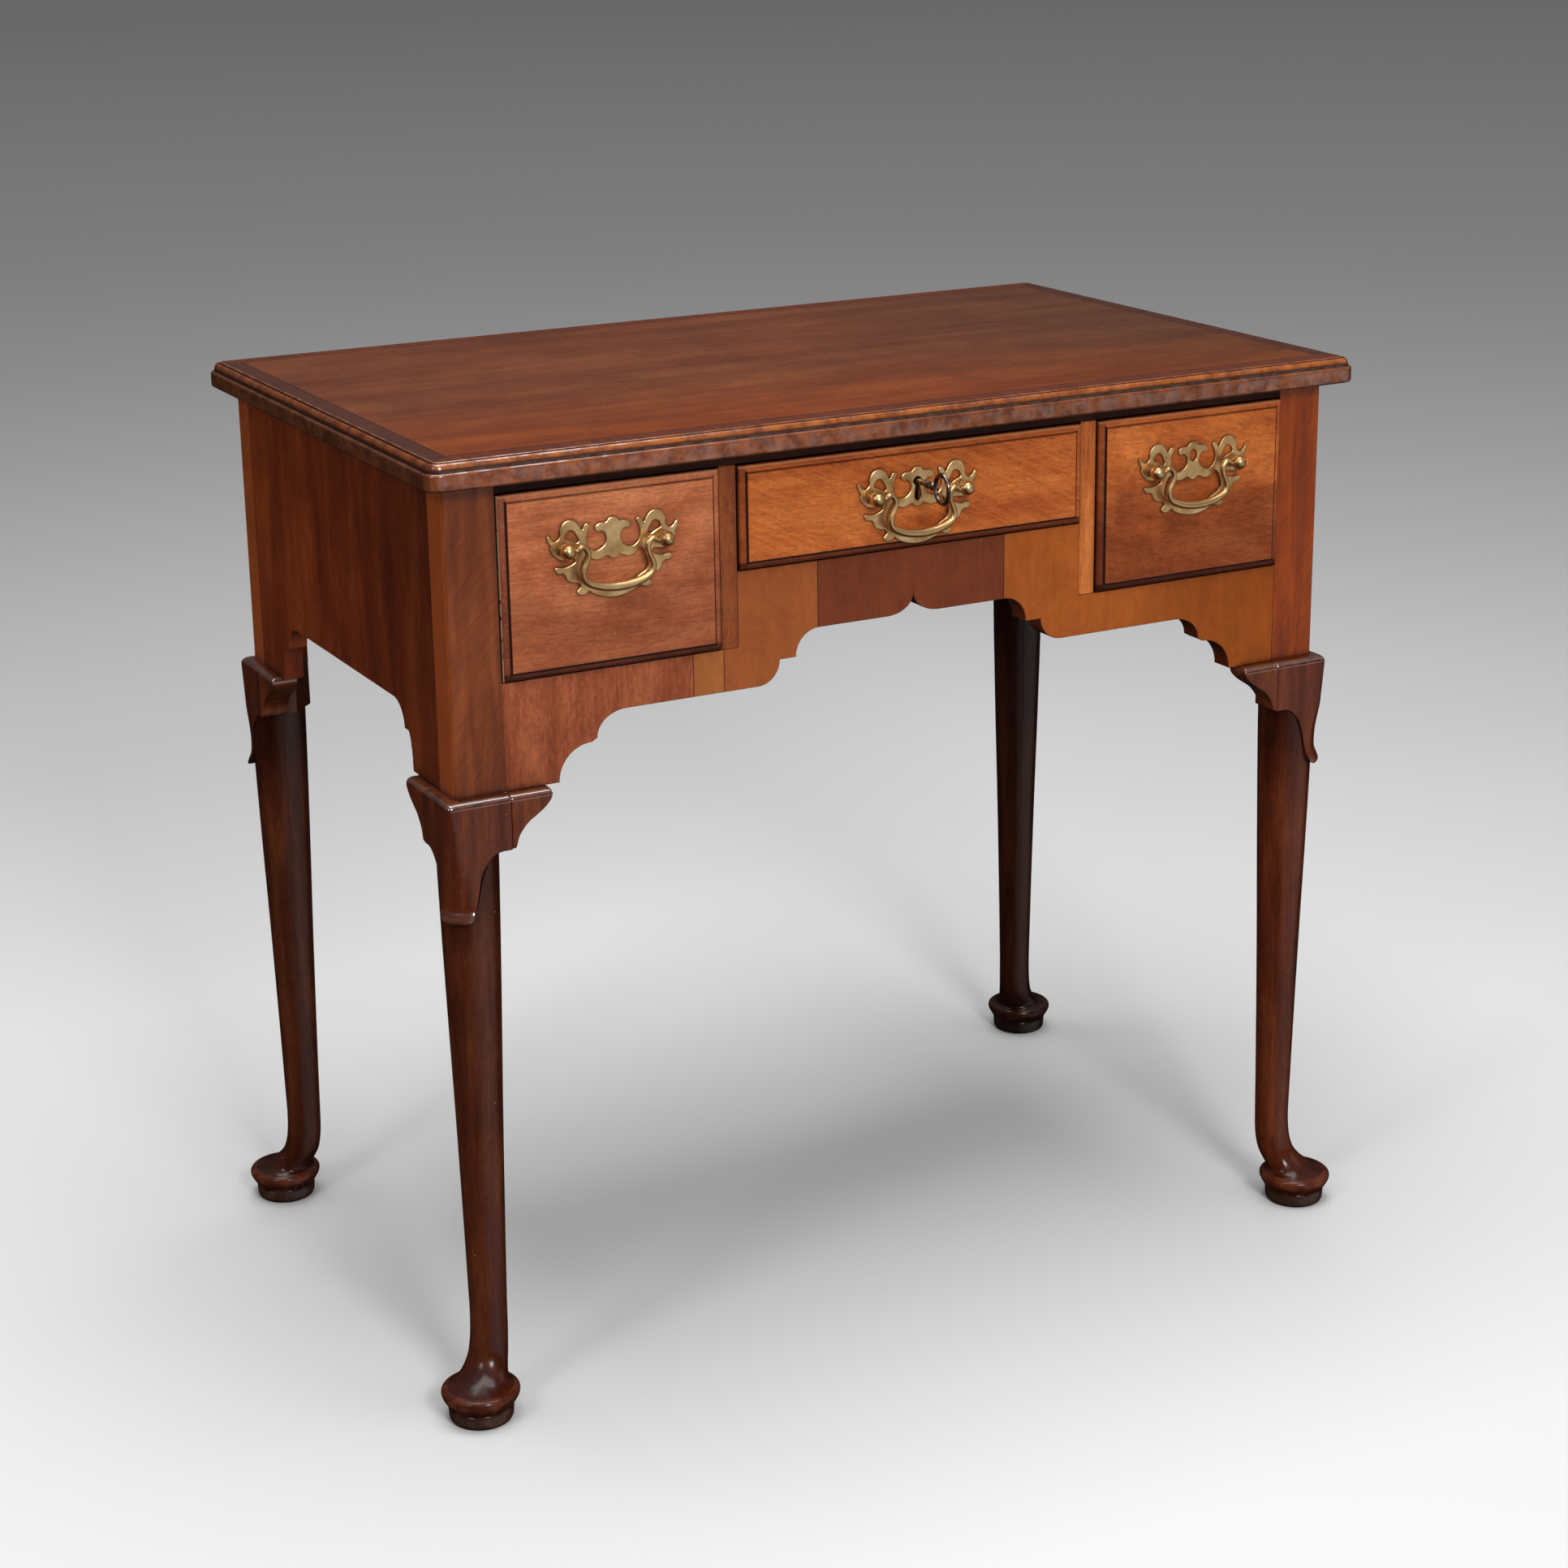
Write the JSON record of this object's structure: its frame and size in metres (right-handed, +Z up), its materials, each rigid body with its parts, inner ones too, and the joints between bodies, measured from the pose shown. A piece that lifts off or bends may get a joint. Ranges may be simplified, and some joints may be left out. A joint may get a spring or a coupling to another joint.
{
  "type": "lowboy",
  "caption": "Mahogany lowboy on turned legs with pad feet: moulded top, shaped apron, drawers with pierced brass bail handles, and a key in the middle drawer's lock.",
  "frame": {"origin": "on the floor, under the middle of the whole piece's bounding box; the key's bow reaches furthest to the front and the back feet furthest to the back", "axes": "+X to the right as seen from the front, -Y to the front where the drawers open, +Z up"},
  "size_m": [0.8064, 0.5163, 0.724],
  "materials": {
    "top_mahogany": "worn wax polish over faded mahogany, satin",
    "case_mahogany": "wax-polished mahogany",
    "red_mahogany": "wax-polished orange-red mahogany veneer",
    "dark_mahogany": "dark wax build-up over turned mahogany, glossy",
    "oak": "unfinished, aged and dry",
    "pine": "unfinished, aged and dry",
    "brass": "old brass, dull golden brown with bright worn edges",
    "steel": "old iron, dull grey-brown"
  },
  "bodies": {
    "carcase": {"top_board": "top_mahogany", "leg_left_front": "dark_mahogany", "leg_left_back": "dark_mahogany", "leg_right_front": "dark_mahogany", "leg_right_back": "dark_mahogany", "knee_bracket_left_front": "dark_mahogany", "knee_bracket_left_side_front": "dark_mahogany", "knee_bracket_left_side_back": "dark_mahogany", "knee_bracket_right_front": "dark_mahogany", "knee_bracket_right_side_front": "dark_mahogany", "knee_bracket_right_side_back": "dark_mahogany", "front_apron": "red_mahogany", "side_board_left": "case_mahogany", "side_board_right": "case_mahogany", "back_board": "oak", "front_top_rail": "case_mahogany", "drawer_divider_left": "case_mahogany", "drawer_divider_right": "case_mahogany", "runner_outer_left": "oak", "runner_outer_right": "oak", "runner_inner_left": "oak", "runner_inner_right": "oak", "runner_middle_left": "oak", "runner_middle_right": "oak"},
    "drawer_left": {"drawer_left_front": "red_mahogany", "drawer_left_side_left": "oak", "drawer_left_side_right": "oak", "drawer_left_back": "oak", "drawer_left_bottom": "pine", "backplate_left": "brass", "handle_post_left_left": "brass", "handle_post_left_right": "brass", "handle_nut_left_left": "brass", "handle_nut_left_right": "brass"},
    "drawer_middle": {"drawer_middle_front": "red_mahogany", "drawer_middle_side_left": "oak", "drawer_middle_side_right": "oak", "drawer_middle_back": "oak", "drawer_middle_bottom": "pine", "backplate_middle": "brass", "handle_post_middle_left": "brass", "handle_post_middle_right": "brass", "handle_nut_middle_left": "brass", "handle_nut_middle_right": "brass", "lock_case": "brass"},
    "drawer_right": {"drawer_right_front": "red_mahogany", "drawer_right_side_left": "oak", "drawer_right_side_right": "oak", "drawer_right_back": "oak", "drawer_right_bottom": "pine", "backplate_right": "brass", "handle_post_right_left": "brass", "handle_post_right_right": "brass", "handle_nut_right_left": "brass", "handle_nut_right_right": "brass"},
    "left_bail": {"bail_left": "brass"},
    "middle_bail": {"bail_middle": "brass"},
    "right_bail": {"bail_right": "brass"},
    "turning_key": {"key": "steel"},
    "sliding_bolt": {"lock_bolt": "steel"}
  },
  "joints": [
    {"name": "drawer_left_slide", "type": "slide", "parent": "carcase", "child": "drawer_left", "axis": [0, -1, 0], "range_m": [0, 0.27]},
    {"name": "drawer_middle_slide", "type": "slide", "parent": "carcase", "child": "drawer_middle", "axis": [0, -1, 0], "range_m": [0, 0.27]},
    {"name": "drawer_right_slide", "type": "slide", "parent": "carcase", "child": "drawer_right", "axis": [0, -1, 0], "range_m": [0, 0.27]},
    {"name": "bail_left_swing", "type": "hinge", "parent": "drawer_left", "child": "left_bail", "pos_m": [-0.2465, -0.21995, 0.65], "axis": [-1, 0, 0], "range_deg": [0, 160]},
    {"name": "bail_middle_swing", "type": "hinge", "parent": "drawer_middle", "child": "middle_bail", "pos_m": [0, -0.21995, 0.65805], "axis": [-1, 0, 0], "range_deg": [0, 70]},
    {"name": "bail_right_swing", "type": "hinge", "parent": "drawer_right", "child": "right_bail", "pos_m": [0.2465, -0.21995, 0.65], "axis": [-1, 0, 0], "range_deg": [0, 160]},
    {"name": "key_turn", "type": "hinge", "parent": "drawer_middle", "child": "turning_key", "pos_m": [0, -0.2, 0.66655], "axis": [0, 1, 0], "range_deg": [0, 180]},
    {"name": "bolt_throw", "type": "slide", "parent": "drawer_middle", "child": "sliding_bolt", "axis": [0, 0, 1], "range_m": [0, 0.006]}
  ],
  "couplings": [
    {"joint": "bolt_throw", "follows": "key_turn", "m_per_rad": 0.0019098}
  ]
}
